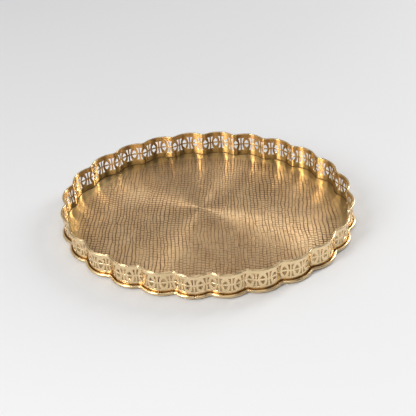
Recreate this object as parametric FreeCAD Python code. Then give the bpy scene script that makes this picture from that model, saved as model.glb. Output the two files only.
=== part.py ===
"""Oval brass tray with a scalloped, pierced gallery.

Frame: +Z up, +X along the length.  The origin is the middle of the underside, so the
tray stands on z = 0.  Millimetres throughout.  One STEP file is written for each piece.
"""
import FreeCAD, Part
import math
import os

from FreeCAD import Vector

# --- plan: an oval of equal scallops, each a round arc between two inward folds --------
SCALLOPS = 24            # a multiple of four, so that a scallop crowns each axis
FOLD_OVAL_X = 164.35     # half length of the oval that the folds' corners lie on
FOLD_OVAL_Y = 133.35     # half width of that oval
SCALLOP_RISE = 8.0       # height of each arc over the chord between its corners
FOLD_RADIUS = 9.0        # bend at a fold, to the middle of the strip

# --- sheet, strip and wires ------------------------------------------------------------
PLATE_THICKNESS = 1.2
PLATE_OVERHANG = 2.1     # plate edge outside the middle of the gallery strip
FIELD_INSET = 11.0       # embossed field of the floor, inside the fold oval
FIELD_RISE = 0.1         # its ridges stand this much above the smooth margin
STRIP_THICKNESS = 0.7
STRIP_WIDTH = 30.8       # the strip stands on edge, so this is its height
FOOT_WIRE_RADIUS = 1.75  # round wire outside the gallery's foot
TOP_WIRE_RADIUS = 0.85   # wire outside the gallery's top edge, filed flat behind
TOP_WIRE_FLAT = 0.15     # depth of that flat
SOLDER_LEG = 1.0         # fillet of solder along the inside of the gallery's foot
OUTSIDE_SOLDER_LEG = 1.0 # bead of solder in the corner behind the foot wire
SEAM_GAP = 0.5           # butt joint of the foot wire, filled with solder

# --- pierced pattern, heights above the foot of the strip ------------------------------
MOTIFS_PER_SCALLOP = 3
BAND_LOW = 7.3
BAND_HIGH = 24.8
BAR_WIDTH = 2.0          # bar along the middle of the band
POST_WIDTH = 1.9         # upright between two rings
RING_HALF_WIDTH = 5.1    # outside of the ring, at the bar
RING_NECK = 3.1          # half width of the ring where it meets the rails
EYE_HALF_WIDTH = 2.75    # opening inside the ring, at the bar
EYE_HALF_HEIGHT = 6.0
CUT_DEPTH = 6.0          # how far a piercing tool reaches to each side of the strip
PATTERN_SHIFT = 0.65     # the pattern's mean offset along the path from the folds
PATTERN_DRIFT = 2.55     # and how far it runs ahead in front and lags behind
DRIFT_STEEPNESS = 2.5    # how soon the drift settles, away from the two ends
JOINT_POST = 1.5         # motifs from a fold to the post in which strips butt

HALF_STRIP = STRIP_THICKNESS / 2
BAND_MIDDLE = (BAND_LOW + BAND_HIGH) / 2
BAND_HALF = (BAND_HIGH - BAND_LOW) / 2
OVAL_STEPS = 7200        # steps that measure along the oval
MOTIFS = SCALLOPS * MOTIFS_PER_SCALLOP


def point_at(centre, radius, angle):
    return (centre[0] + radius * math.cos(angle), centre[1] + radius * math.sin(angle))


def fold_corners():
    """Corners of the scallops, equally spaced along the fold oval."""
    angles = [2 * math.pi * i / OVAL_STEPS for i in range(OVAL_STEPS + 1)]
    points = [(FOLD_OVAL_X * math.cos(a), FOLD_OVAL_Y * math.sin(a)) for a in angles]
    lengths = [0.0]
    for p, q in zip(points, points[1:]):
        lengths.append(lengths[-1] + math.dist(p, q))
    pitch = lengths[-1] / SCALLOPS
    corners = []
    for k in range(SCALLOPS):
        wanted = (k - 0.5) * pitch % lengths[-1]
        step = min(range(OVAL_STEPS), key=lambda i: abs(lengths[i] - wanted))
        corners.append(points[step])
    return corners


def scallop_circles(corners):
    circles = []
    for p, q in zip(corners, corners[1:] + corners[:1]):
        chord = math.dist(p, q)
        radius = (chord ** 2 / 4 + SCALLOP_RISE ** 2) / (2 * SCALLOP_RISE)
        outward = ((q[1] - p[1]) / chord, (p[0] - q[0]) / chord)
        middle = ((p[0] + q[0]) / 2, (p[1] + q[1]) / 2)
        inset = radius - SCALLOP_RISE
        centre = (middle[0] - outward[0] * inset, middle[1] - outward[1] * inset)
        circles.append((centre, radius))
    return circles


def fold_centre(before, after):
    """Centre of the fold that is tangent to two neighbouring scallops, on their outside."""
    (p, p_radius), (q, q_radius) = before, after
    reach_p = p_radius + FOLD_RADIUS
    reach_q = q_radius + FOLD_RADIUS
    apart = math.dist(p, q)
    along = (reach_p ** 2 - reach_q ** 2 + apart ** 2) / (2 * apart)
    aside = math.sqrt(reach_p ** 2 - along ** 2)
    ux, uy = (q[0] - p[0]) / apart, (q[1] - p[1]) / apart
    return (p[0] + ux * along + uy * aside, p[1] + uy * along - ux * aside)


def turn_between(start, end):
    """Signed angle from one direction to the next, the short way round."""
    return (end - start + math.pi) % (2 * math.pi) - math.pi


def scallop_path():
    """Arcs of the strip's middle line, anticlockwise: fold, scallop, fold, scallop...

    Each arc is (centre, radius, start angle, sweep, side).  side is +1 on a scallop,
    whose centre is inside, and -1 on a fold, whose centre is outside.
    """
    circles = scallop_circles(fold_corners())
    folds = [fold_centre(circles[k - 1], circles[k]) for k in range(SCALLOPS)]
    path = []
    for k in range(SCALLOPS):
        before, here = circles[k - 1], circles[k]
        fold, next_fold = folds[k], folds[(k + 1) % SCALLOPS]
        start = math.atan2(before[0][1] - fold[1], before[0][0] - fold[0])
        end = math.atan2(here[0][1] - fold[1], here[0][0] - fold[0])
        path.append((fold, FOLD_RADIUS, start, turn_between(start, end), -1))
        start = math.atan2(fold[1] - here[0][1], fold[0] - here[0][0])
        end = math.atan2(next_fold[1] - here[0][1], next_fold[0] - here[0][0])
        path.append((here[0], here[1], start, turn_between(start, end), 1))
    return path


PATH = scallop_path()


def offset_outline(offset, z):
    """Closed wire at a distance outside the strip's middle line."""
    edges = []
    for centre, radius, start, sweep, side in PATH:
        r = radius + side * offset
        ends = [point_at(centre, r, start + sweep * t) for t in (0, 0.5, 1)]
        edges.append(Part.Arc(*[Vector(x, y, z) for x, y in ends]).toShape())
    return Part.Wire(edges)


def upright_band(inner, outer, low, high):
    """Wall between two offsets of the path."""
    rise = Vector(0, 0, high - low)
    filled = Part.Face(offset_outline(outer, low)).extrude(rise)
    return filled.cut(Part.Face(offset_outline(inner, low)).extrude(rise))


def section(edges_at, centre, radius, angle, side):
    """Face of a section, standing across the path at one end of an arc."""
    def place(offset, z):
        x, y = point_at(centre, radius + side * offset, angle)
        return Vector(x, y, z)

    edges = []
    for points in edges_at:
        corners = [place(*p) for p in points]
        edge = Part.Arc(*corners) if len(corners) == 3 else Part.LineSegment(*corners)
        edges.append(edge.toShape())
    return Part.Face(Part.Wire(edges))


def run_round(edges_at):
    """Solid of one section carried round every scallop and fold."""
    pieces = []
    for centre, radius, start, sweep, side in PATH:
        face = section(edges_at, centre, radius, start, side)
        axis = Vector(centre[0], centre[1], 0)
        pieces.append(face.revolve(axis, Vector(0, 0, 1), math.degrees(sweep)))
    return pieces[0].multiFuse(pieces[1:]).removeSplitter().Solids[0]


def motif_length():
    total = sum(radius * abs(sweep) for _, radius, _, sweep, _ in PATH)
    return total / MOTIFS


MOTIF = motif_length()


def drifted(distance):
    """Where a point of the even pattern lies, because the strips aren't laid quite even."""
    turn = 2 * math.pi * (distance / (MOTIF * MOTIFS) - JOINT_POST / MOTIFS)
    wave = math.tanh(-DRIFT_STEEPNESS * math.sin(turn)) / math.tanh(DRIFT_STEEPNESS)
    return distance + PATTERN_SHIFT + PATTERN_DRIFT * wave


def joint(quarter):
    """Point where two strips butt: 0 at the right end, then anticlockwise."""
    return along_path(drifted(MOTIF * (JOINT_POST + quarter * MOTIFS / 4)))[0]


def along_path(distance):
    """Point and tangent at a distance along the middle line, from the middle of fold 0."""
    first_half = PATH[0][1] * abs(PATH[0][3]) / 2
    total = MOTIF * MOTIFS
    left = (distance + first_half) % total
    for centre, radius, start, sweep, side in PATH:
        length = radius * abs(sweep)
        if left <= length:
            break
        left -= length
    angle = start + sweep * left / length
    x, y = point_at(centre, radius, angle)
    return Vector(x, y, 0), Vector(-math.sin(angle) * side, math.cos(angle) * side, 0)


def arc_middle(p, q, half_width, half_height_at_axis):
    """Point halfway up the arc from p to q that bulges to half_width at the bar."""
    radius = (half_width ** 2 + half_height_at_axis ** 2) / (2 * half_width)
    z = (p[1] + q[1]) / 2
    x = half_width - radius + math.sqrt(radius ** 2 - z ** 2)
    return (math.copysign(x, p[0] + q[0]), z)


def half_motif_openings():
    """Openings above the bar in one motif, as (u, v) edges from the ring's centre."""
    bar = BAR_WIDTH / 2
    post = MOTIF / 2 - POST_WIDTH / 2
    ring_radius = ((RING_HALF_WIDTH - RING_NECK) ** 2 + BAND_HALF ** 2)
    ring_radius /= 2 * (RING_HALF_WIDTH - RING_NECK)
    ring_tip = math.sqrt(ring_radius ** 2 - (ring_radius - RING_HALF_WIDTH) ** 2)
    eye_radius = (EYE_HALF_WIDTH ** 2 + EYE_HALF_HEIGHT ** 2) / (2 * EYE_HALF_WIDTH)
    eye_at_bar = EYE_HALF_WIDTH - eye_radius + math.sqrt(eye_radius ** 2 - bar ** 2)
    ring_at_bar = RING_HALF_WIDTH - ring_radius + math.sqrt(ring_radius ** 2 - bar ** 2)

    left, right, tip = (-eye_at_bar, bar), (eye_at_bar, bar), (0.0, EYE_HALF_HEIGHT)
    rise_left = arc_middle(left, tip, EYE_HALF_WIDTH, EYE_HALF_HEIGHT)
    rise_right = arc_middle(right, tip, EYE_HALF_WIDTH, EYE_HALF_HEIGHT)
    openings = [[(left, right), (right, rise_right, tip), (tip, rise_left, left)]]
    for way in (-1, 1):
        foot, post_foot = (way * ring_at_bar, bar), (way * post, bar)
        neck, post_head = (way * RING_NECK, BAND_HALF), (way * post, BAND_HALF)
        flank = arc_middle(foot, neck, RING_HALF_WIDTH, ring_tip)
        openings.append([(foot, post_foot), (post_foot, post_head),
                         (post_head, neck), (neck, flank, foot)])
    return openings


def piercing_tool(outline, distance, way):
    """Prism that cuts one opening; its outline is wrapped to the bend of the strip."""
    centre = sum(p[0] for edge in outline for p in edge) / sum(len(e) for e in outline)
    origin, tangent = along_path(drifted(distance + centre))
    normal = Vector(tangent.y, -tangent.x, 0)
    edges = []
    for points in outline:
        corners = []
        for u, v in points:
            across = (along_path(drifted(distance + u))[0] - origin).dot(tangent)
            z = PLATE_THICKNESS + BAND_MIDDLE + way * v
            corners.append(origin + tangent * across - normal * CUT_DEPTH + Vector(0, 0, z))
        edge = Part.Arc(*corners) if len(corners) == 3 else Part.LineSegment(*corners)
        edges.append(edge.toShape())
    return Part.Face(Part.Wire(edges)).extrude(normal * (2 * CUT_DEPTH))


def tray_plate():
    """Floor sheet; its embossed field is a low oval step, without the relief itself."""
    sheet = Part.Face(offset_outline(PLATE_OVERHANG, 0)).extrude(Vector(0, 0, PLATE_THICKNESS))
    half_x, half_y = FOLD_OVAL_X - FIELD_INSET, FOLD_OVAL_Y - FIELD_INSET
    oval = Part.Ellipse(Vector(0, 0, 0), half_x, half_y).toShape()
    field = Part.Face(Part.Wire(oval)).extrude(Vector(0, 0, PLATE_THICKNESS + FIELD_RISE))
    return sheet.fuse(field).removeSplitter().Solids[0]


def foot_wire():
    """Round wire that lies on the plate and touches the outside of the gallery."""
    r = FOOT_WIRE_RADIUS
    middle, centre_z = HALF_STRIP + r, PLATE_THICKNESS + r
    inner, outer = (middle - r, centre_z), (middle + r, centre_z)
    return run_round([(inner, (middle, centre_z - r), outer),
                      (outer, (middle, centre_z + r), inner)])


def seam_slot():
    """Slot across the foot wire, below the joint of the two front strips."""
    depth = 2 * (HALF_STRIP + FOOT_WIRE_RADIUS)
    height = PLATE_THICKNESS + 2 * FOOT_WIRE_RADIUS
    return Part.makeBox(SEAM_GAP, depth, height, joint(3) - Vector(SEAM_GAP / 2, depth, 0))


def outside_solder():
    """Bead of solder in the corner between the gallery and the plate, behind the wire."""
    wall, low = HALF_STRIP, PLATE_THICKNESS
    corner, on_plate = (wall, low), (wall + OUTSIDE_SOLDER_LEG, low)
    on_wall = (wall, low + OUTSIDE_SOLDER_LEG)
    return run_round([(corner, on_plate), (on_plate, on_wall), (on_wall, corner)])


def inside_solder():
    """Concave fillet between the plate and the inside of the gallery."""
    wall, low = -HALF_STRIP, PLATE_THICKNESS
    reach = SOLDER_LEG * (1 - math.sqrt(0.5))
    corner, on_plate, on_wall = (wall, low), (wall - SOLDER_LEG, low), (wall, low + SOLDER_LEG)
    return run_round([(corner, on_wall), (on_wall, (wall - reach, low + reach), on_plate),
                      (on_plate, corner)])


def top_wire():
    """Wire along the outside of the top edge, flush with it and flat behind."""
    r = TOP_WIRE_RADIUS
    middle = HALF_STRIP + r - TOP_WIRE_FLAT
    centre_z = PLATE_THICKNESS + STRIP_WIDTH - r
    half_flat = math.sqrt(r ** 2 - (r - TOP_WIRE_FLAT) ** 2)
    high, low = (HALF_STRIP, centre_z + half_flat), (HALF_STRIP, centre_z - half_flat)
    return run_round([(high, low), (low, (middle + r, centre_z), high)])


def gallery_strips():
    """Four pierced strips, about a quarter each, which butt in the middle of a post."""
    low, high = PLATE_THICKNESS, PLATE_THICKNESS + STRIP_WIDTH
    wall = upright_band(-HALF_STRIP, HALF_STRIP, low, high)
    reach = FOLD_OVAL_X + 2 * SCALLOP_RISE
    right, back, left, front = (joint(quarter) for quarter in range(4))
    corners = [(front.x, -reach, reach, right.y), (back.x, right.y, reach, reach),
               (-reach, left.y, back.x, reach), (-reach, -reach, front.x, left.y)]
    openings = half_motif_openings()
    motifs_per_strip = MOTIFS // len(corners)
    pierced = []
    for number, (x0, y0, x1, y1) in enumerate(corners):
        box = Part.makeBox(x1 - x0, y1 - y0, STRIP_WIDTH, Vector(x0, y0, low))
        first = (number - 1) * motifs_per_strip + math.ceil(JOINT_POST)
        tools = []
        for m in range(first, first + motifs_per_strip):
            for way in (-1, 1):
                tools += [piercing_tool(o, m * MOTIF, way) for o in openings]
        pierced.append(wall.common(box).cut(tools))
    return pierced


def export(node, shape):
    os.makedirs("parts", exist_ok=True)
    if not shape.isValid():
        raise ValueError(f"{node} is not a valid solid")
    shape.exportStep(f"parts/{node}.step")
    box = shape.optimalBoundingBox(False)
    print(f"{node}: {len(shape.Solids)} solid, {shape.Volume / 1000:.2f} cm3, "
          f"{box.XLength:.1f} x {box.YLength:.1f} x {box.ZLength:.1f}")


def main():
    wire = foot_wire()
    export("tray_plate", tray_plate())
    export("foot_wire", wire.cut(seam_slot()))
    export("foot_wire_seam", wire.common(seam_slot()))
    export("outside_solder", outside_solder())
    export("inside_solder", inside_solder())
    export("top_wire", top_wire())
    for number, strip in enumerate(gallery_strips(), start=1):
        export(f"gallery_strip_{number}", strip)


main()
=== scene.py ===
"""The looks of the oval brass tray: visible meshes, materials, floor, lights and camera."""
import math

import bmesh
import bpy
import numpy as np
from mathutils import Matrix, Vector
from mathutils.geometry import delaunay_2d_cdt


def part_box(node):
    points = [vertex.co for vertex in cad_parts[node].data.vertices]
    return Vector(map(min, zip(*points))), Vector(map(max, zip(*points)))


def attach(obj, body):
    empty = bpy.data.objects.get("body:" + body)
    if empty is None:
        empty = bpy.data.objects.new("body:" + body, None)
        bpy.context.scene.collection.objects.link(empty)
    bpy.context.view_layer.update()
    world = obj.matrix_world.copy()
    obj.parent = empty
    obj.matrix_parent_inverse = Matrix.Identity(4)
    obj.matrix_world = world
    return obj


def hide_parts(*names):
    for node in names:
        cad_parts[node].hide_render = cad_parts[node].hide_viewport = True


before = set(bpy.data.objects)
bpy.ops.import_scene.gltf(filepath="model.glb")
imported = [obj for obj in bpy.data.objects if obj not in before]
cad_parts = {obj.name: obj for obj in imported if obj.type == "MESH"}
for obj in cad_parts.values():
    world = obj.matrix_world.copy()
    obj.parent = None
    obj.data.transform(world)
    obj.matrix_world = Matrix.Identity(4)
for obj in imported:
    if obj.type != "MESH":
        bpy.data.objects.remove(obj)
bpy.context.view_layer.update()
MM = 0.001

# --- plan of the gallery, millimetres: the scallops and folds of the CAD model ---------
SCALLOPS = 24
FOLD_OVAL_X, FOLD_OVAL_Y = 164.35, 133.35
SCALLOP_RISE = 8.0
FOLD_RADIUS = 9.0
MOTIFS = 3 * SCALLOPS
STRIPS = 4
OVAL_STEPS = 7200        # steps that measure along the oval

# --- pierced pattern, measured from the foot of the strip ------------------------------
BAND_LOW, BAND_HIGH = 7.3, 24.8
BAR_WIDTH, POST_WIDTH = 2.0, 1.9
RING_HALF_WIDTH, RING_NECK = 5.1, 3.1
EYE_HALF_WIDTH, EYE_HALF_HEIGHT = 2.75, 6.0
PATTERN_SHIFT, PATTERN_DRIFT = 0.65, 2.55    # how far the pattern lies from even spacing
DRIFT_STEEPNESS = 2.5    # how quickly the drift changes over
JOINT_POST = 1.5         # motifs from a fold to the post that a joint is in
FIRST_MOTIF = 2          # the motif after that post
EDGE_CHAMFER = 0.11

# --- heights and sections that the CAD boxes give, in millimetres ----------------------


def box_mm(node):
    low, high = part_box(node)
    return np.array(low) / MM, np.array(high) / MM


FIELD_TOP = box_mm("tray_plate")[1][2]
MARGIN_TOP = box_mm("foot_wire")[0][2]
STRIP_TOP = box_mm("gallery_strip_1")[1][2]
FOOT_RADIUS = (box_mm("foot_wire")[1][2] - box_mm("foot_wire")[0][2]) / 2
TOP_RADIUS = (box_mm("top_wire")[1][2] - box_mm("top_wire")[0][2]) / 2

# --- sections that the boxes don't give, in millimetres --------------------------------
HALF_STRIP = 0.35        # half the thickness of the strip
TOP_WIRE_FLAT = 0.15     # how deep the top wire is filed flat behind
SEAM_HALF_GAP = 0.25     # half the opening of the foot wire at its seam
WIRE_SIDES, TOP_WIRE_SIDES = 24, 18


# ======================================================================================
# The scalloped path
# ======================================================================================


def scallop_arcs():
    """Arcs of the strip's middle line: rows of centre x, y, radius, start, sweep, side."""
    t = np.linspace(0, 2 * np.pi, OVAL_STEPS + 1)
    oval = np.stack([FOLD_OVAL_X * np.cos(t), FOLD_OVAL_Y * np.sin(t)], 1)
    length = np.concatenate([[0], np.cumsum(np.hypot(*np.diff(oval, axis=0).T))])
    wanted = (np.arange(SCALLOPS) - 0.5) % SCALLOPS / SCALLOPS * length[-1]
    corners = np.stack([np.interp(wanted, length, oval[:, i]) for i in (0, 1)], 1)
    after = np.roll(corners, -1, axis=0)
    chord = after - corners
    span = np.hypot(*chord.T)
    radius = (span ** 2 / 4 + SCALLOP_RISE ** 2) / (2 * SCALLOP_RISE)
    outward = np.stack([chord[:, 1], -chord[:, 0]], 1) / span[:, None]
    centre = (corners + after) / 2 - outward * (radius - SCALLOP_RISE)[:, None]
    folds = []
    for k in range(SCALLOPS):
        p, q = centre[k - 1], centre[k]
        reach_p, reach_q = radius[k - 1] + FOLD_RADIUS, radius[k] + FOLD_RADIUS
        apart = math.dist(p, q)
        along = (reach_p ** 2 - reach_q ** 2 + apart ** 2) / (2 * apart)
        unit = (q - p) / apart
        aside = math.sqrt(reach_p ** 2 - along ** 2)
        folds.append(p + unit * along + np.array([unit[1], -unit[0]]) * aside)
    arcs = []

    def add(middle, r, first, last, side):
        start = math.atan2(*(first - middle)[::-1])
        end = math.atan2(*(last - middle)[::-1])
        sweep = (end - start + math.pi) % (2 * math.pi) - math.pi
        arcs.append((*middle, r, start, sweep, side))

    for k in range(SCALLOPS):
        add(folds[k], FOLD_RADIUS, centre[k - 1], centre[k], -1)
        add(centre[k], radius[k], folds[k], folds[(k + 1) % SCALLOPS], 1)
    return np.array(arcs)


ARCS = scallop_arcs()
ARC_LENGTH = ARCS[:, 2] * np.abs(ARCS[:, 4])
ARC_START = np.concatenate([[0], np.cumsum(ARC_LENGTH)])
PERIMETER = ARC_START[-1]
MOTIF = PERIMETER / MOTIFS
FIRST_FOLD = ARC_LENGTH[0] / 2      # from the start of the path to the middle of fold 0


def on_path(s, offset=0.0):
    """Points at a distance along the path from the middle of fold 0, and outward normals."""
    s = (np.asarray(s, float) + FIRST_FOLD) % PERIMETER
    k = np.clip(np.searchsorted(ARC_START, s, side="right") - 1, 0, len(ARCS) - 1)
    x, y, radius, start, sweep, side = ARCS[k].T
    angle = start + sweep * (s - ARC_START[k]) / ARC_LENGTH[k]
    ray = np.stack([np.cos(angle), np.sin(angle)], -1)
    reach = radius + side * offset
    return np.stack([x, y], -1) + ray * reach[..., None], ray * side[..., None]


def drifted(s):
    """Where a point of the even pattern lies, because the strips aren't laid quite even."""
    turn = 2 * np.pi * (np.asarray(s, float) / PERIMETER - JOINT_POST / MOTIFS)
    wave = np.tanh(-DRIFT_STEEPNESS * np.sin(turn)) / math.tanh(DRIFT_STEEPNESS)
    return s + PATTERN_SHIFT + PATTERN_DRIFT * wave


FRONT_JOINT = float(drifted(PERIMETER * 0.75 + JOINT_POST * MOTIF))


def path_stations(per_scallop=26, per_fold=10):
    """Distances along the path, close together round the folds, from fold 0's middle."""
    stations = []
    for k, length in enumerate(ARC_LENGTH):
        steps = per_fold if k % 2 == 0 else per_scallop
        stations += list(ARC_START[k] + length * np.arange(steps) / steps)
    return np.array(stations) - FIRST_FOLD


# ======================================================================================
# Mesh helpers
# ======================================================================================


SHARP_DEGREES, FLOOR_SHARP_DEGREES = 35.0, 12
HASH_SCALE = 43758.5453  # large, so that neighbouring phases give unlike numbers
HASH_X, HASH_Y = 127.1, 269.5
HASH_SEED_1D, HASH_SEED_2D = 311.7, 74.7


def make_object(name, points_mm, faces, sharp_degrees=SHARP_DEGREES):
    mesh = bpy.data.meshes.new(name)
    mesh.from_pydata((np.asarray(points_mm) * MM).tolist(), [], faces)
    mesh.validate()
    mesh.shade_smooth()
    mesh.set_sharp_from_angle(angle=math.radians(sharp_degrees))
    obj = bpy.data.objects.new(name, mesh)
    bpy.context.scene.collection.objects.link(obj)
    return obj


def sweep(name, section, stations, closed=True):
    """Carry a closed section round the path.

    section(stations) gives offsets and heights, one row for each station.
    """
    offsets, heights = section(stations)
    rows, sides = offsets.shape
    points = np.empty((rows, sides, 3))
    for j in range(sides):
        points[:, j, :2] = on_path(stations, offsets[:, j])[0]
    points[..., 2] = heights
    faces = []
    for i in range(rows if closed else rows - 1):
        a, b = i * sides, (i + 1) % rows * sides
        for j in range(sides):
            k = (j + 1) % sides
            faces.append((a + j, b + j, b + k, a + k))
    if not closed:
        faces.append(tuple(range(sides)))
        faces.append(tuple(reversed(range((rows - 1) * sides, rows * sides))))
    return make_object(name, points.reshape(-1, 3), faces)


def scrambled(phase):
    """A repeatable number between -1 and 1 for each phase."""
    h = np.sin(phase) * HASH_SCALE
    return 2 * (h - np.floor(h)) - 1


def eased(f):
    """A share from 0 to 1 that starts and ends gently."""
    return f * f * (3 - 2 * f)


def smooth_noise(x, seed, wavelength):
    """Repeatable one-dimensional noise between -1 and 1, smooth over a wavelength."""
    t = np.asarray(x, float) / wavelength
    cell = np.floor(t).astype(int)
    f = eased(t - cell)

    def value(n):
        return scrambled(n * HASH_X + seed * HASH_SEED_1D)

    return value(cell) * (1 - f) + value(cell + 1) * f


# ======================================================================================
# Wires and solder
# ======================================================================================


def foot_wire():
    """Round wire outside the foot, open at its seam, which is in line with the front joint."""
    gap = SEAM_HALF_GAP
    seam = FRONT_JOINT
    ease = 0.35                      # the filed ends of the wire narrow over this length
    end_share, widening = 0.9, 0.1   # the wire's radius at its very end, and the rest of it
    stations = path_stations()
    stations = stations[(np.abs((stations - seam + PERIMETER / 2) % PERIMETER
                                - PERIMETER / 2) > 2 * gap + ease)]
    stations = np.sort((stations - seam) % PERIMETER)
    ends = np.array([gap, gap + ease / 2, gap + ease])
    stations = np.concatenate([ends, stations, PERIMETER - ends[::-1]]) + seam
    turn = np.linspace(0, 2 * np.pi, WIRE_SIDES, endpoint=False)
    middle = HALF_STRIP + FOOT_RADIUS

    def section(s):
        from_end = np.minimum(s - seam, seam + PERIMETER - s) - gap
        r = FOOT_RADIUS * (end_share + widening * np.sqrt(np.clip(from_end / ease, 0, 1)))
        return (middle + r[:, None] * np.cos(turn)[None],
                MARGIN_TOP + FOOT_RADIUS + r[:, None] * np.sin(turn)[None])

    return sweep("foot_wire_visual", section, stations, closed=False)


def foot_wire_seam():
    """Solder that bridges the two ends of the foot wire."""
    seam = FRONT_JOINT
    half_length = 0.3
    waist_share, flare = 0.93, 0.05
    ripples, ripple_depth = 3, 0.012
    stations = seam + np.linspace(-half_length, half_length, 7)
    turn = np.linspace(0, 2 * np.pi, WIRE_SIDES, endpoint=False)
    middle = HALF_STRIP + FOOT_RADIUS

    def section(s):
        waist = waist_share + flare * ((s - seam) / half_length) ** 2
        ripple = 1 + ripple_depth * np.sin(ripples * turn + 1.0)
        r = FOOT_RADIUS * waist[:, None] * ripple[None]
        return (middle + r * np.cos(turn), MARGIN_TOP + FOOT_RADIUS + r * np.sin(turn))

    return sweep("foot_wire_seam_visual", section, stations, closed=False)


def top_wire():
    """Fine wire along the outside of the top edge, flat where it meets the strip."""
    middle = HALF_STRIP + TOP_RADIUS - TOP_WIRE_FLAT
    half_flat = math.acos(1 - TOP_WIRE_FLAT / TOP_RADIUS)
    turn = np.linspace(-math.pi + half_flat, math.pi - half_flat, TOP_WIRE_SIDES)

    def section(s):
        ones = np.ones(len(s))[:, None]
        return (ones * (middle + TOP_RADIUS * np.cos(turn))[None],
                ones * (STRIP_TOP - TOP_RADIUS + TOP_RADIUS * np.sin(turn))[None])

    return sweep("top_wire_visual", section, path_stations())


def inside_solder():
    """Concave fillet of solder at the inside of the foot, run by hand so never even."""
    most = box_mm("inside_solder")[1][2] - box_mm("inside_solder")[0][2]
    turn = np.linspace(0, np.pi / 2, 7)
    usual_share, variation = 0.72, 0.13
    short_wave, long_wave = 9.0, 31.0

    def section(s):
        leg = most * (usual_share + variation * smooth_noise(s, 3, short_wave)
                      + variation * smooth_noise(s, 4, long_wave))
        wall = -HALF_STRIP
        x = wall - leg[:, None] * (1 - np.sin(turn)[None])
        z = MARGIN_TOP + leg[:, None] * (1 - np.cos(turn)[None])
        corner_x, corner_z = np.full((len(s), 1), wall), np.full((len(s), 1), MARGIN_TOP)
        return np.hstack([x[:, ::-1], corner_x]), np.hstack([z[:, ::-1], corner_z])

    return sweep("inside_solder_visual", section, path_stations(22, 8))


# ======================================================================================
# Pierced gallery
# ======================================================================================


MITRE_LIMIT = 0.45       # a corner moves at most 1 / 0.45 of the amount that its sides do
MERGE_DISTANCE = 1e-7    # corners nearer than this are one, in millimetres
WELD_DISTANCE = 2e-6     # the same for the finished strip, in metres
LEVEL_SLACK = 1e-6       # how far a corner may be from a level and still be on it
BORDER_SLACK = 1e-9
GRID_COLUMNS = 21
ROWS_BELOW, ROWS_IN_BAND, ROWS_ABOVE = 6, 22, 5
GRID_CLEARANCE = 0.32    # between the points of the grid and the rim of an opening


def arc_points(p, q, half_width, half_height, steps):
    """Points from p towards q, q left out, on the arc that bulges to half_width."""
    radius = (half_width ** 2 + half_height ** 2) / (2 * half_width)
    v = np.linspace(p[1], q[1], steps, endpoint=False)
    u = half_width - radius + np.sqrt(radius ** 2 - v ** 2)
    return list(zip(math.copysign(1, p[0] + q[0]) * u, v))


def straight_points(p, q, steps):
    return [(p[0] + (q[0] - p[0]) * i / steps, p[1] + (q[1] - p[1]) * i / steps)
            for i in range(steps)]


def motif_openings():
    """Outlines of the six openings round one ring, anticlockwise, from the ring's middle."""
    bar, band = BAR_WIDTH / 2, (BAND_HIGH - BAND_LOW) / 2
    post = MOTIF / 2 - POST_WIDTH / 2
    narrowing = RING_HALF_WIDTH - RING_NECK
    ring_radius = (narrowing ** 2 + band ** 2) / (2 * narrowing)
    ring_tip = math.sqrt(ring_radius ** 2 - (ring_radius - RING_HALF_WIDTH) ** 2)
    ring_at_bar = RING_HALF_WIDTH - ring_radius + math.sqrt(ring_radius ** 2 - bar ** 2)
    eye_radius = (EYE_HALF_WIDTH ** 2 + EYE_HALF_HEIGHT ** 2) / (2 * EYE_HALF_WIDTH)
    eye_at_bar = EYE_HALF_WIDTH - eye_radius + math.sqrt(eye_radius ** 2 - bar ** 2)

    left, right, tip = (-eye_at_bar, bar), (eye_at_bar, bar), (0.0, EYE_HALF_HEIGHT)
    bar_steps, eye_steps = 8, 7
    eye = (straight_points(left, right, bar_steps)
           + arc_points(right, tip, EYE_HALF_WIDTH, EYE_HALF_HEIGHT, eye_steps)
           + arc_points(tip, left, EYE_HALF_WIDTH, EYE_HALF_HEIGHT, eye_steps))
    left_side = bar_steps + eye_steps
    eye[left_side:] = [(-abs(u), v) for u, v in eye[left_side:]]
    foot, post_foot = (ring_at_bar, bar), (post, bar)
    neck, post_head = (RING_NECK, band), (post, band)
    foot_steps, post_steps, rail_steps, ring_steps = 3, 9, 5, 9
    wedge = (straight_points(foot, post_foot, foot_steps)
             + straight_points(post_foot, post_head, post_steps)
             + straight_points(post_head, neck, rail_steps)
             + arc_points(neck, foot, RING_HALF_WIDTH, ring_tip, ring_steps))
    upper = [eye, wedge, [(-u, v) for u, v in reversed(wedge)]]
    lower = [[(u, -v) for u, v in reversed(outline)] for outline in upper]
    return [np.array(outline) for outline in upper + lower]


def grown(outline, amount):
    """An anticlockwise outline moved outward, with mitred corners."""
    before = outline - np.roll(outline, 1, axis=0)
    after = np.roll(outline, -1, axis=0) - outline
    normals = []
    for d in (before, after):
        normals.append(np.stack([d[:, 1], -d[:, 0]], 1) / np.hypot(*d.T)[:, None])
    bisector = normals[0] + normals[1]
    bisector /= np.hypot(*bisector.T)[:, None]
    stretch = np.clip(np.sum(bisector * normals[0], 1), MITRE_LIMIT, 1)
    return outline + bisector * (amount / stretch)[:, None]


def inside(points, outline):
    """Which points lie inside a closed outline."""
    x, y = points[:, 0:1], points[:, 1:2]
    x0, y0 = outline[:, 0][None], outline[:, 1][None]
    x1, y1 = np.roll(outline[:, 0], -1)[None], np.roll(outline[:, 1], -1)[None]
    crosses = (y0 > y) != (y1 > y)
    with np.errstate(divide="ignore", invalid="ignore"):
        at = x0 + (y - y0) * (x1 - x0) / (y1 - y0)
    return np.sum(crosses & (x < at), axis=1) % 2 == 1


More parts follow.
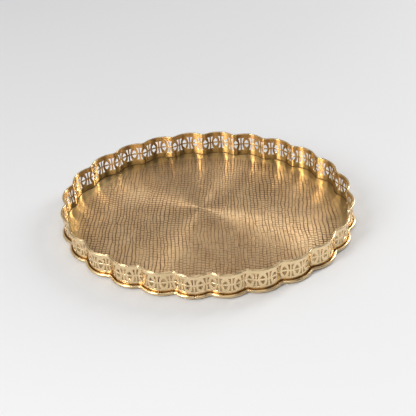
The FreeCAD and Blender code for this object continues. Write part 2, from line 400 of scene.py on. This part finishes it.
def triangulate(points, edges):
    """Corners, triangles and, for each corner, the points that it came from."""
    result = delaunay_2d_cdt([Vector(p) for p in points], edges, [], 0, MERGE_DISTANCE, True)
    corners = np.array([tuple(v) for v in result[0]])
    faces = np.array([f for f in result[2] if len(f) == 3])
    origins = result[3]
    return corners, faces, origins


def motif_template():
    """Flat mesh of one motif: corners (u, height), triangles and the openings' loops."""
    low, high = EDGE_CHAMFER, STRIP_TOP - MARGIN_TOP - EDGE_CHAMFER
    middle = (BAND_LOW + BAND_HIGH) / 2
    half = MOTIF / 2
    columns = np.linspace(-half, half, GRID_COLUMNS)
    heights = np.concatenate([np.linspace(low, BAND_LOW, ROWS_BELOW)[:-1],
                              np.linspace(BAND_LOW, BAND_HIGH, ROWS_IN_BAND)[:-1],
                              np.linspace(BAND_HIGH, high, ROWS_ABOVE)])
    outlines = [o + [0, middle] for o in motif_openings()]
    faces_rim = [grown(o, EDGE_CHAMFER) for o in outlines]
    grid = np.array([(u, v) for v in heights for u in columns])
    spare = np.zeros(len(grid), bool)
    for rim in faces_rim:
        spare |= inside(grid, grown(rim, GRID_CLEARANCE))
    border = np.abs(np.abs(grid[:, 0]) - half) < BORDER_SLACK
    points = list(grid[~spare | border])
    edges, loops = [], []
    for rim in faces_rim:
        first = len(points)
        points += list(rim)
        loop = [first + i for i in range(len(rim))]
        loops.append(loop)
        edges += list(zip(loop, loop[1:] + loop[:1]))
    corners, faces, origins = triangulate(points, edges)
    new_of = {}
    for new, olds in enumerate(origins):
        for old in olds:
            new_of[old] = new
    loops = [[new_of[i] for i in loop] for loop in loops]
    centres = corners[faces].mean(axis=1)
    hole = np.zeros(len(faces), bool)
    for rim in faces_rim:
        hole |= inside(centres, rim)
    faces = faces[~hole]
    a, b, c = (corners[faces[:, i]] for i in range(3))
    turned = ((b - a)[:, 0] * (c - a)[:, 1] - (b - a)[:, 1] * (c - a)[:, 0]) < 0
    faces[turned] = faces[turned][:, ::-1]
    return corners, faces, loops, outlines


def gallery_strip(name, first_motif, template):
    """One strip of whole motifs with half posts at its ends, bent to the scallops."""
    corners, faces, loops, outlines = template
    count = MOTIFS // STRIPS
    s_parts, z_parts, d_parts, polygons = [], [], [], []
    total = 0

    def add(s, z, depth):
        nonlocal total
        s_parts.append(np.asarray(s, float))
        z_parts.append(np.asarray(z, float))
        d_parts.append(np.broadcast_to(np.asarray(depth, float), np.shape(s)))
        total += len(s)
        return total - len(s)

    flat = HALF_STRIP - EDGE_CHAMFER
    low, high = corners[:, 1].min(), corners[:, 1].max()
    for m in range(count):
        at = (first_motif + m) * MOTIF
        front = add(at + corners[:, 0], corners[:, 1], HALF_STRIP)
        back = add(at + corners[:, 0], corners[:, 1], -HALF_STRIP)
        polygons += (faces + front).tolist()
        polygons += (faces[:, ::-1] + back).tolist()
        for loop, outline in zip(loops, outlines):
            n = len(loop)
            ring_front = add(at + outline[:, 0], outline[:, 1], flat)
            ring_back = add(at + outline[:, 0], outline[:, 1], -flat)
            for i in range(n):
                j = (i + 1) % n
                polygons.append((front + loop[j], front + loop[i], ring_front + i, ring_front + j))
                polygons.append((ring_front + j, ring_front + i, ring_back + i, ring_back + j))
                polygons.append((ring_back + j, ring_back + i, back + loop[i], back + loop[j]))
        for level, edge_z, up in ((high, high + EDGE_CHAMFER, 1), (low, low - EDGE_CHAMFER, -1)):
            row = np.where(np.abs(corners[:, 1] - level) < LEVEL_SLACK)[0]
            row = row[np.argsort(corners[row, 0])]
            rim_front = add(at + corners[row, 0], np.full(len(row), edge_z), flat)
            rim_back = add(at + corners[row, 0], np.full(len(row), edge_z), -flat)
            for i in range(len(row) - 1):
                bands = ((front + row[i], front + row[i + 1], rim_front + i + 1, rim_front + i),
                         (rim_front + i, rim_front + i + 1, rim_back + i + 1, rim_back + i),
                         (rim_back + i, rim_back + i + 1, back + row[i + 1], back + row[i]))
                polygons += [b if up > 0 else b[::-1] for b in bands]
    s, z, depth = (np.concatenate(p) for p in (s_parts, z_parts, d_parts))
    xy = np.empty((len(s), 2))
    for value in np.unique(depth):
        pick = depth == value
        xy[pick] = on_path(drifted(s[pick]), value)[0]
    points = np.column_stack([xy, z + MARGIN_TOP])
    obj = make_object(name, points, [tuple(int(i) for i in p) for p in polygons])
    weld_and_cap(obj)
    return obj


def weld_and_cap(obj):
    """Join the motifs' shared edges and close the two ends of the strip."""
    bm = bmesh.new()
    bm.from_mesh(obj.data)
    bmesh.ops.remove_doubles(bm, verts=bm.verts, dist=WELD_DISTANCE)
    open_edges = [e for e in bm.edges if len(e.link_faces) == 1]
    bmesh.ops.holes_fill(bm, edges=open_edges, sides=0)
    bmesh.ops.recalc_face_normals(bm, faces=bm.faces)
    for face in bm.faces:
        face.smooth = True
    bm.to_mesh(obj.data)
    bm.free()
    obj.data.set_sharp_from_angle(angle=math.radians(SHARP_DEGREES))


def gallery():
    template = motif_template()
    strips = []
    for number in range(STRIPS):
        first = (number - 1) * MOTIFS // STRIPS + FIRST_MOTIF
        strips.append(gallery_strip(f"gallery_strip_{number + 1}_visual", first, template))
    return strips


# ======================================================================================
# Floor sheet: embossed bark grain inside an oval, smooth margin, scalloped edge
# ======================================================================================
FIELD_X, FIELD_Y = 158.5, 130.3          # half length and half width of the field
COLUMN = 4.15            # mean distance between the long grooves
ROW = 4.2                # mean distance between the cross ticks
LEAN = -0.105            # the grooves lean this much off the Y axis
GROOVE_DEPTH, TICK_DEPTH = 0.24, 0.19
GROOVE_SHARE = (0.0, 0.12, 0.5, 0.88)     # where the vertices stand across one scale
TICK_SHARE = (0.0, 0.13, 0.5, 0.87)
TICK_PROFILE = (1.0, 0.12, 0.0, 0.12)     # depth of a tick at each of those places
SHOULDER = 0.13          # share of a groove's depth that its shoulders have
DOME = 0.03              # how much the scales rise and fall
SPARE_COLUMNS, SPARE_ROWS = 12, 8         # beyond the field, because the grooves lean and wander
EDGE_GAP = 0.9           # the grain stops this far inside the field's edge
FADE_WIDTH, FADE_LEAST = 6.0, 0.2         # the grooves grow shallow near that edge
MARGIN_RINGS = 13
SWELL = 0.045            # unevenness of the smooth margin
EDGE_BEVEL, UNDER_BEVEL = 0.15, 0.2       # corners of the plate's cut edge
UNDER_RING = -6.0        # offset of a ring on the underside, inside the wall
SEAM_SLACK = 1e-3        # share of the oval that a seam triangle may lie beyond it

STEP_SHARE = 0.62        # how much of the ticks' unevenness is used
CUT_USUAL, CUT_VARIATION = 0.95, 0.5      # depth along a groove, as a share of GROOVE_DEPTH
CUT_LEAST, CUT_MOST = 0.45, 1.15
TICK_USUAL, TICK_VARIATION, TICK_MOST = 0.75, 0.75, 1.1
CROWDED_GAP, CROWDED_RANGE = 0.9, 1.6     # grooves this close, in millimetres, run together
MERGED_SHARE = 0.75      # how deep the floor between such grooves is cut

# how the grooves wander: size in millimetres, grooves to a wave, millimetres to a wave, seed
WANDER = ((3.2, 13, 80, 1), (1.3, 5, 32, 2), (1.0, 1.3, 17, 3))


def noise_2d(x, y, seed):
    """Repeatable smooth noise between -1 and 1, one unit to a wave."""
    x, y = np.asarray(x, float), np.asarray(y, float)
    i, j = np.floor(x), np.floor(y)
    f, g = eased(x - i), eased(y - j)

    def value(a, b):
        return scrambled(a * HASH_X + b * HASH_Y + seed * HASH_SEED_2D)

    low = value(i, j) * (1 - f) + value(i + 1, j) * f
    high = value(i, j + 1) * (1 - f) + value(i + 1, j + 1) * f
    return low * (1 - g) + high * g


def groove_x(number, y):
    """Where a long groove runs: neighbours wander together, and a little on their own."""
    x = number * COLUMN + LEAN * y
    for size, grooves, length, seed in WANDER:
        x = x + size * noise_2d(number / grooves, y / length, seed)
    return x + 0.6 * noise_2d(number * 1.37, y / 5, 4)


def grain():
    """Vertices of the embossed field on a grid that follows the grooves."""
    columns = int(2 * FIELD_X / COLUMN) + SPARE_COLUMNS
    rows = int(2 * FIELD_Y / ROW) + SPARE_ROWS
    n, m = len(GROOVE_SHARE), len(TICK_SHARE)
    line = np.arange(columns + 1.0)[:, None] - columns // 2
    column = line[:-1]

    # the ticks step from column to column, as the edges of scales do
    tick_row, part = np.divmod(np.arange(rows * m + 1), m)
    along = (tick_row + np.array(TICK_SHARE)[part] - rows / 2)[None]
    step = (0.95 * noise_2d(column * 0.83, along / 7, 5)
            + 0.4 * noise_2d(column * 1.71, along / 1.9, 6))
    cell_y = (along + STEP_SHARE * step) * ROW
    line_y = np.concatenate([cell_y[:1], (cell_y[1:] + cell_y[:-1]) / 2, cell_y[-1:]])
    left, right = groove_x(column, cell_y), groove_x(column + 1, cell_y)
    gap = right - left

    line_cut = np.clip(CUT_USUAL + CUT_VARIATION * noise_2d(line * 0.93, line_y / 16, 7),
                       CUT_LEAST, CUT_MOST)
    patch = TICK_USUAL + 1.0 * noise_2d(column / 8, along / 8, 8)
    single = noise_2d(column * 1.31, np.round(along) * 1.17, 9)
    tick_cut = np.clip(patch + TICK_VARIATION * single, 0.0, TICK_MOST)
    tick = tick_cut * np.array(TICK_PROFILE)[part][None] * TICK_DEPTH / GROOVE_DEPTH
    crowded = 1 - np.clip((gap - CROWDED_GAP) / CROWDED_RANGE, 0.0, 1.0)
    merged = crowded * np.minimum(line_cut[:-1], line_cut[1:]) * MERGED_SHARE

    shape = (columns * n + 1, rows * m + 1)
    x, y, sink = np.empty(shape), np.empty(shape), np.empty(shape)
    x[::n], y[::n], sink[::n] = groove_x(line, line_y), line_y, line_cut
    for k, across in enumerate(GROOVE_SHARE[1:], start=1):
        shoulder = (SHOULDER * line_cut[:-1], 0.0, SHOULDER * line_cut[1:])[k - 1]
        x[k::n], y[k::n] = left + gap * across, cell_y
        sink[k::n] = np.maximum(np.maximum(shoulder, tick), merged)
    dome = DOME * noise_2d(x / 6.1, y / 7.3, 10)
    return x, y, sink, dome


def plate():
    """The whole floor sheet. Its vertices say how deep in a groove and how far on the field."""
    x, y, sink, dome = grain()
    top = FIELD_TOP - DOME
    near_edge = 1 - np.hypot(x / (FIELD_X - EDGE_GAP), y / (FIELD_Y - EDGE_GAP))
    keep = near_edge > 0
    quad = keep[:-1, :-1] & keep[1:, :-1] & keep[:-1, 1:] & keep[1:, 1:]
    used = np.zeros(keep.shape, bool)
    for di in (0, 1):
        for dj in (0, 1):
            used[di:di + quad.shape[0], dj:dj + quad.shape[1]] |= quad
    index = np.full(keep.shape, -1)
    index[used] = np.arange(used.sum())
    fade = np.clip(near_edge * FIELD_Y / FADE_WIDTH, FADE_LEAST, 1)[used]
    z = top + dome[used] - GROOVE_DEPTH * sink[used] * fade
    points = [np.column_stack([x[used], y[used], z])]
    groove = [sink[used] * fade]
    field = [np.ones(used.sum())]
    a, b = index[:-1, :-1][quad], index[1:, :-1][quad]
    c, d = index[1:, 1:][quad], index[:-1, 1:][quad]
    faces = np.stack([a, b, c, d], 1).tolist()
    total = used.sum()

    def add(xyz, on_field=0.0):
        nonlocal total
        points.append(np.asarray(xyz, float))
        groove.append(np.zeros(len(xyz)))
        field.append(np.full(len(xyz), on_field))
        total += len(xyz)
        return total - len(xyz)

    stations = path_stations(24, 8)
    count = len(stations)
    wall = on_path(stations, -HALF_STRIP)[0]
    turn = np.arctan2(wall[:, 1] / FIELD_Y, wall[:, 0] / FIELD_X)
    oval = np.stack([FIELD_X * np.cos(turn), FIELD_Y * np.sin(turn)], 1)

    def swell(xy, share):
        u, v = xy[:, 0], xy[:, 1]
        wave = noise_2d(u / 13, v / 13, 11) + 0.5 * noise_2d(u / 6, v / 6, 12)
        return MARGIN_TOP + SWELL * wave * math.sin(math.pi * share) ** 2

    rings = []
    for share in np.linspace(0, 1, MARGIN_RINGS):
        xy = oval + (wall - oval) * share
        rings.append(add(np.column_stack([xy, swell(xy, share)]), float(share == 0)))
    edge = box_mm("tray_plate")[1][1] - box_mm("gallery_strip_2")[1][1] + HALF_STRIP
    for offset, height in ((edge - EDGE_BEVEL, MARGIN_TOP), (edge, MARGIN_TOP - EDGE_BEVEL),
                           (edge, UNDER_BEVEL), (edge - UNDER_BEVEL, 0.0), (UNDER_RING, 0.0)):
        xy = on_path(stations, offset)[0]
        rings.append(add(np.column_stack([xy, np.full(count, height)])))
    for share in (0.0, 0.3, 0.6, 0.9):
        rings.append(add(np.column_stack([oval * (0.97 - share), np.zeros(count)])))
    for r, s in zip(rings, rings[1:]):
        for k in range(count):
            n = (k + 1) % count
            faces.append([r + k, s + k, s + n, r + n])
    faces.append([rings[-1] + k for k in reversed(range(count))])

    faces += seam_between(faces[:quad.sum()], points, rings[0], oval)
    obj = make_object("tray_plate_visual", np.concatenate(points), faces, FLOOR_SHARP_DEGREES)
    for name, values in (("groove", groove), ("field", field)):
        layer = obj.data.attributes.new(name, "FLOAT", "POINT")
        layer.data.foreach_set("value", np.concatenate(values))
    return obj


def seam_between(grain_faces, points, oval_first, oval):
    """Triangles that join the ragged edge of the grain to the oval round it."""
    quads = np.array(grain_faces)
    sides = ((0, 1), (1, 2), (2, 3), (3, 0))
    edges = np.concatenate([quads[:, side] for side in sides])
    keyed = np.sort(edges, axis=1)
    unique, counts = np.unique(keyed, axis=0, return_counts=True)
    border = unique[counts == 1]
    grain_points = points[0]
    members = np.unique(border)
    local = {int(v): k for k, v in enumerate(members)}
    flat = [tuple(grain_points[v, :2]) for v in members] + [tuple(p) for p in oval]
    names = [int(v) for v in members] + [oval_first + k for k in range(len(oval))]
    lines = [(local[int(a)], local[int(b)]) for a, b in border]
    start = len(members)
    lines += [(start + k, start + (k + 1) % len(oval)) for k in range(len(oval))]
    corners, triangles, origins = triangulate(flat, lines)
    names_of = [names[o[0]] for o in origins]
    centre = corners[triangles].mean(axis=1)
    beyond = 1 - np.hypot(centre[:, 0] / FIELD_X, centre[:, 1] / FIELD_Y)
    on_grain = np.array([all(i < start for i in (origins[v][0] for v in t)) for t in triangles])
    inner = on_grain & inside_border(centre, grain_points, border)
    result = []
    for t in triangles[(beyond > -SEAM_SLACK) & ~inner]:
        a, b, c = corners[t]
        if (b - a)[0] * (c - a)[1] - (b - a)[1] * (c - a)[0] < 0:
            t = t[::-1]
        result.append([names_of[v] for v in t])
    return result


def inside_border(centres, grain_points, border):
    """Which points lie inside the border of the grain, by counting crossings."""
    p, q = grain_points[border[:, 0], :2], grain_points[border[:, 1], :2]
    result = np.zeros(len(centres), bool)
    for k, (x, y) in enumerate(centres):
        crosses = (p[:, 1] > y) != (q[:, 1] > y)
        at = p[crosses, 0] + (y - p[crosses, 1]) * (q[crosses, 0] - p[crosses, 0]) / (
            q[crosses, 1] - p[crosses, 1])
        result[k] = np.sum(x < at) % 2 == 1
    return result


# ======================================================================================
# Materials
# ======================================================================================


class Nodes:
    """Short forms for building a material's node tree."""

    def __init__(self, name):
        self.material = bpy.data.materials.new(name)
        self.material.use_nodes = True
        self.tree = self.material.node_tree
        self.shader = self.tree.nodes["Principled BSDF"]
        place = self.add("ShaderNodeTexCoord")
        self.coordinates, self.normal = place.outputs["Object"], place.outputs["Normal"]

    def add(self, kind, **settings):
        node = self.tree.nodes.new(kind)
        for key, value in settings.items():
            setattr(node, key, value)
        return node

    def link(self, value, socket):
        if isinstance(value, bpy.types.NodeSocket):
            self.tree.links.new(value, socket)
        else:
            socket.default_value = value

    def math(self, operation, a, b=0.0, clamp=False):
        node = self.add("ShaderNodeMath", operation=operation, use_clamp=clamp)
        self.link(a, node.inputs[0])
        self.link(b, node.inputs[1])
        return node.outputs[0]

    def scaled(self, factors, vector=None):
        node = self.add("ShaderNodeVectorMath", operation="MULTIPLY")
        self.link(vector or self.coordinates, node.inputs[0])
        node.inputs[1].default_value = factors
        return node.outputs[0]

    def noise(self, scale, detail=3.0, roughness=0.55, vector=None, distortion=0.0):
        node = self.add("ShaderNodeTexNoise")
        self.link(vector or self.coordinates, node.inputs["Vector"])
        node.inputs["Scale"].default_value = scale
        node.inputs["Detail"].default_value = detail
        node.inputs["Roughness"].default_value = roughness
        node.inputs["Distortion"].default_value = distortion
        return node.outputs[0]

    def remap(self, value, low, high, to_low=0.0, to_high=1.0):
        node = self.add("ShaderNodeMapRange")
        self.link(value, node.inputs["Value"])
        for key, number in (("From Min", low), ("From Max", high),
                            ("To Min", to_low), ("To Max", to_high)):
            node.inputs[key].default_value = number
        return node.outputs[0]

    def mix(self, share, a, b):
        node = self.add("ShaderNodeMix", data_type="RGBA")
        self.link(share, node.inputs[0])
        self.link(a, node.inputs[6])
        self.link(b, node.inputs[7])
        return node.outputs[2]

    def length(self, vector):
        node = self.add("ShaderNodeVectorMath", operation="LENGTH")
        self.link(vector, node.inputs[0])
        return node.outputs["Value"]

    def dot(self, a, b):
        node = self.add("ShaderNodeVectorMath", operation="DOT_PRODUCT")
        self.link(a, node.inputs[0])
        self.link(b, node.inputs[1])
        return node.outputs["Value"]

    def z_of(self, vector):
        node = self.add("ShaderNodeSeparateXYZ")
        self.link(vector, node.inputs[0])
        return node.outputs["Z"]

    def attribute(self, name):
        return self.add("ShaderNodeAttribute", attribute_name=name).outputs["Fac"]

    def bump(self, height, distance, strength=1.0, normal=None):
        node = self.add("ShaderNodeBump")
        node.inputs["Strength"].default_value = strength
        node.inputs["Distance"].default_value = distance
        self.link(height, node.inputs["Height"])
        if normal is not None:
            self.link(normal, node.inputs["Normal"])
        return node.outputs[0]

    def set(self, socket, value):
        self.link(value, self.shader.inputs[socket])


BRASS = (0.92, 0.71, 0.435, 1)
WARM_BRASS = (0.86, 0.65, 0.37, 1)
# darker copy of the brass: painted shade for the gallery's inward faces
INNER_SHADE_BRASS = (0.62, 0.50, 0.27, 1)
FLOOR_BRASS = (0.94, 0.66, 0.36, 1)
FLOOR_WARM = (0.88, 0.58, 0.295, 1)
# darker brass: painted shade near the wall, and the colour of the smooth margin
DARKER_BRASS = (0.44, 0.32, 0.155, 1)
# dark brown: painted shade at the foot and on the wires' inward faces, and the colour of tarnish
# specks
SHADE_AND_TARNISH = (0.24, 0.14, 0.055, 1)
DARK_PATINA = (0.12, 0.042, 0.024, 1)
WIRE_BRASS = (0.86, 0.65, 0.38, 1)
SOLDER_BROWN, SOLDER_DARK = (0.2, 0.13, 0.065, 1), (0.15, 0.09, 0.045, 1)
PAPER_IN_SHADE, PAPER_WHITE = (0.765, 0.765, 0.77, 1), (0.86, 0.86, 0.86, 1)
# direction towards which painted light brightens the paper
LIT_SIDE = (0.803, -0.579, 0.0)
TURNED_MIDDLE = (-0.010, 0.019, 0.0)      # middle of the floor's turned finish, in metres
TURNED_LINES = 2600.0    # waves of that finish to a metre
OUTWARD_SCALE = 10.0     # brings the wall's distance from the middle, in metres, over 1


def embossed_brass():
    """The floor: dark grooves in brass, with painted shade that deepens towards the wall, a darker
    smooth margin and a turned finish.
    """
    n = Nodes("embossed_brass")
    groove, field = n.attribute("groove"), n.attribute("field")
    cloud = n.noise(28.0, 4.0, 0.6)
    speck = n.noise(900.0, 2.0, 0.6)
    metal = n.mix(n.remap(cloud, 0.35, 0.68), FLOOR_BRASS, FLOOR_WARM)
    crowns = (1 / MM / (FOLD_OVAL_X + SCALLOP_RISE), 1 / MM / (FOLD_OVAL_Y + SCALLOP_RISE), 0.0)
    outward = n.length(n.scaled(crowns))         # about 1 at the wall's crowns
    # painted shade: the floor darkens towards the foot of the wall, where the wall shades it
    metal = n.mix(n.remap(outward, 0.76, 0.93, 0.0, 0.68), metal, DARKER_BRASS)
    stain = n.remap(cloud, 0.2, 0.7, 0.9, 1.15)
    dirt = n.math("MULTIPLY", n.math("POWER", groove, 0.68), stain, clamp=True)
    dirt = n.math("MAXIMUM", dirt, n.remap(speck, 0.66, 0.78, 0.0, 0.35))
    # the smooth margin is mixed towards the darker brass
    darker_margin = n.remap(field, 0.0, 1.0, 0.76, 0.0)
    n.set("Base Color", n.mix(dirt, n.mix(darker_margin, metal, DARKER_BRASS), DARK_PATINA))
    rough = n.remap(n.noise(140.0, 5.0, 0.65), 0.3, 0.7, -0.05, 0.07)
    base = n.remap(field, 0.0, 1.0, 0.35, 0.335)
    n.set("Roughness", n.math("ADD", n.math("ADD", base, rough), n.math("MULTIPLY", dirt, 0.25)))
    n.set("Metallic", 1.0)
    n.set("Anisotropic", 0.9)
    offset = n.add("ShaderNodeVectorMath", operation="SUBTRACT")
    n.link(n.coordinates, offset.inputs[0])
    n.link(TURNED_MIDDLE, offset.inputs[1])
    from_middle = n.scaled((1.0, 1.0, 0.0), offset.outputs[0])
    n.set("Tangent", from_middle)
    turned = n.add("ShaderNodeTexNoise", noise_dimensions="1D")
    n.link(n.length(from_middle), turned.inputs["W"])
    turned.inputs["Scale"].default_value = TURNED_LINES
    turned.inputs["Detail"].default_value = 3.0
    fine = n.bump(turned.outputs[0], 0.00002, 0.5)
    warped = n.bump(n.noise(15.0, 1.0, 0.4), 0.0016, 1.0, fine)   # a thin sheet is never flat
    n.set("Normal", n.bump(n.noise(420.0, 4.0, 0.6), 0.00004, 0.5, warped))
    return n.material


def polished_brass(name, colour, tone, rough_low, rough_high, shade_height,
                   inner_shade_share=0.0, inner=INNER_SHADE_BRASS, brushed=0.0):
    """Polished brass, hazed by handling, with tarnish specks, and painted shade towards the foot and
    on faces that look inward.
    """
    n = Nodes(name)
    cloud = n.noise(60.0, 4.0, 0.6)
    metal = n.mix(n.remap(cloud, 0.32, 0.7), colour, tone)
    outward = n.dot(n.scaled((OUTWARD_SCALE, OUTWARD_SCALE, 0.0)), n.normal)
    # painted shade: faces that look inward, towards the tray's middle, are mixed towards a darker
    # colour
    metal = n.mix(n.remap(outward, -0.3, 0.0, inner_shade_share, 0.0), metal, inner)
    # painted shade: darker towards the foot, where the wall, wires and solder meet the floor
    low = n.remap(n.z_of(n.coordinates), 0.0, shade_height, 1.0, 0.0)
    uneven = n.remap(n.noise(260.0, 3.0, 0.6), 0.25, 0.7, 0.35, 1.0)
    foot_shade_and_specks = n.math("MULTIPLY", low, uneven, clamp=True)
    # tarnish specks, real marks on the metal
    spots = n.remap(n.noise(700.0, 2.0, 0.5), 0.68, 0.76, 0.0, 0.5)
    foot_shade_and_specks = n.math("MAXIMUM", n.math("MULTIPLY", foot_shade_and_specks, 0.5), spots)
    n.set("Base Color", n.mix(foot_shade_and_specks, metal, SHADE_AND_TARNISH))
    haze = n.remap(n.noise(90.0, 5.0, 0.65), 0.3, 0.72, rough_low, rough_high)
    n.set("Roughness", n.math("ADD", haze, n.math("MULTIPLY", foot_shade_and_specks, 0.15)))
    n.set("Metallic", 1.0)
    level = n.math("ABSOLUTE", n.z_of(n.normal))
    n.set("Anisotropic", n.remap(level, 0.2, 0.7, brushed, 0.0))    # the tangent fails on level faces
    upright = n.add("ShaderNodeCombineXYZ")
    upright.inputs["Z"].default_value = 1.0
    n.set("Tangent", upright.outputs[0])
    scratches = n.bump(n.noise(55.0, 3.0, 0.7, n.scaled((1.0, 1.0, 26.0)), 0.4), 0.00001, 0.12)
    n.set("Normal", n.bump(n.noise(120.0, 2.0, 0.4), 0.00002, 0.06, scratches))
    return n.material


def stage_paper():
    """White paper with painted light: brighter towards the side that LIT_SIDE points to, and in
    painted shade on the other side.
    """
    n = Nodes("white_sweep")
    lit_share = n.remap(n.dot(n.coordinates, LIT_SIDE), -0.22, 0.4)
    n.set("Base Color", n.mix(lit_share, PAPER_IN_SHADE, PAPER_WHITE))
    n.set("Roughness", 0.62)
    n.set("Specular IOR Level", 0.25)
    n.set("Normal", n.bump(n.noise(600.0, 3.0), 0.0002, 0.25))
    return n.material


# ======================================================================================
# Build
# ======================================================================================


def dress(obj, node, material):
    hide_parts(node)
    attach(obj, "root")
    obj.data.materials.append(material)


EMBOSSED = embossed_brass()
GALLERY = polished_brass("gallery_brass", BRASS, WARM_BRASS, rough_low=0.14, rough_high=0.22,
                         shade_height=0.008, inner_shade_share=0.4, brushed=0.6)
WIRE = polished_brass("wire_brass", WIRE_BRASS, WARM_BRASS, rough_low=0.24, rough_high=0.34,
                      shade_height=0.0035, inner_shade_share=0.8, inner=SHADE_AND_TARNISH)
SOLDER = polished_brass("solder", SOLDER_BROWN, SOLDER_DARK, rough_low=0.5, rough_high=0.65,
                        shade_height=0.004)

dress(plate(), "tray_plate", EMBOSSED)
dress(foot_wire(), "foot_wire", WIRE)
dress(foot_wire_seam(), "foot_wire_seam", SOLDER)
dress(inside_solder(), "inside_solder", SOLDER)
dress(top_wire(), "top_wire", WIRE)
for number, strip in enumerate(gallery(), start=1):
    dress(strip, f"gallery_strip_{number}", GALLERY)
for slot in bpy.data.objects["outside_solder"].material_slots:
    slot.material = SOLDER

# --- floor, lights and camera ----------------------------------------------------------
PAPER_REACH = 6000       # millimetres from the middle to each side
paper_corners = [(x * PAPER_REACH, y * PAPER_REACH, 0)
                 for x, y in ((-1, -1), (1, -1), (1, 1), (-1, 1))]
paper = make_object("sweep_floor", paper_corners, [(0, 1, 2, 3)])
paper.data.materials.append(stage_paper())

TURN = 0.161             # the tray's long axis against the camera's level, radians
SHOT = Matrix.Rotation(TURN, 4, "Z")


def area_light(name, place, aim, size, watts):
    """A softbox; place and aim are in millimetres as seen from the camera's side."""
    data = bpy.data.lights.new(name, "AREA")
    data.shape = "RECTANGLE"
    data.size, data.size_y = size[0] * MM, size[1] * MM
    data.energy = watts
    obj = bpy.data.objects.new(name, data)
    here, there = (SHOT @ (Vector(p) * MM) for p in (place, aim))
    turned = (there - here).to_track_quat("-Z", "Y").to_matrix().to_4x4()
    obj.matrix_world = Matrix.Translation(here) @ turned
    bpy.context.scene.collection.objects.link(obj)


area_light("right_box", (1960, 1273, 1140), (0, 0, 0), (500, 1750), 38.0)
area_light("left_box", (-1385, -1043, 1354), (0, 0, 0), (500, 1550), 27.0)
area_light("left_wall", (-1775, -313, 1262), (0, 0, 0), (1000, 800), 6.0)
area_light("right_wall", (1741, -467, 1262), (0, 0, 0), (800, 800), 2.5)
area_light("front_fill", (150, -1150, 1500), (0, -120, 0), (1000, 1000), 5.0)

LEAST_GLOW = 0.02        # strength of each glow where it has faded out
world = bpy.data.worlds.new("room")
world.use_nodes = True
room = world.node_tree


def room_glow(toward, start, end, strength):
    """Strength of the room's light that rises towards one direction."""
    facing = room.nodes.new("ShaderNodeVectorMath")
    facing.operation = "DOT_PRODUCT"
    room.links.new(room.nodes.new("ShaderNodeTexCoord").outputs["Generated"], facing.inputs[0])
    facing.inputs[1].default_value = SHOT @ Vector(toward)
    glow = room.nodes.new("ShaderNodeMapRange")
    glow.interpolation_type = "SMOOTHSTEP"
    room.links.new(facing.outputs["Value"], glow.inputs["Value"])
    for key, number in (("From Min", start), ("From Max", end),
                        ("To Min", LEAST_GLOW), ("To Max", strength)):
        glow.inputs[key].default_value = number
    return glow.outputs[0]


# direction, then where the glow starts and ends along it, and its strength
GLOWS = (((0, 0, 1), 0.5, 0.95, 0.24), ((0, 1, 0), 0.0, 0.75, 0.56))
running = room_glow(*GLOWS[0])
for settings in GLOWS[1:]:
    both = room.nodes.new("ShaderNodeMath")
    room.links.new(running, both.inputs[0])
    room.links.new(room_glow(*settings), both.inputs[1])
    running = both.outputs[0]
room.links.new(running, room.nodes["Background"].inputs["Strength"])
room.nodes["Background"].inputs["Color"].default_value = (1.0, 1.0, 1.0, 1)
bpy.context.scene.world = world

# --- camera, in millimetres and radians ------------------------------------------------
DISTANCE, ELEVATION, ROLL = 1178.4, math.radians(36.88), math.radians(-4.125)
AIM = Vector((1.46, 19.3, 1.2))
camera_data = bpy.data.cameras.new("camera")
camera_data.sensor_width = 36
camera_data.lens = 84.57
camera = bpy.data.objects.new("camera", camera_data)
back = Vector((0, -math.cos(ELEVATION), math.sin(ELEVATION)))
right, up = Vector((1, 0, 0)), Vector((0, math.sin(ELEVATION), math.cos(ELEVATION)))
tilted_right = math.cos(ROLL) * right + math.sin(ROLL) * up
tilted_up = -math.sin(ROLL) * right + math.cos(ROLL) * up
pose = Matrix((tilted_right, tilted_up, back)).transposed().to_4x4()
camera.matrix_world = SHOT @ Matrix.Translation((AIM + back * DISTANCE) * MM) @ pose
bpy.context.scene.collection.objects.link(camera)
bpy.context.scene.camera = camera
bpy.context.scene.view_settings.view_transform = "Standard"
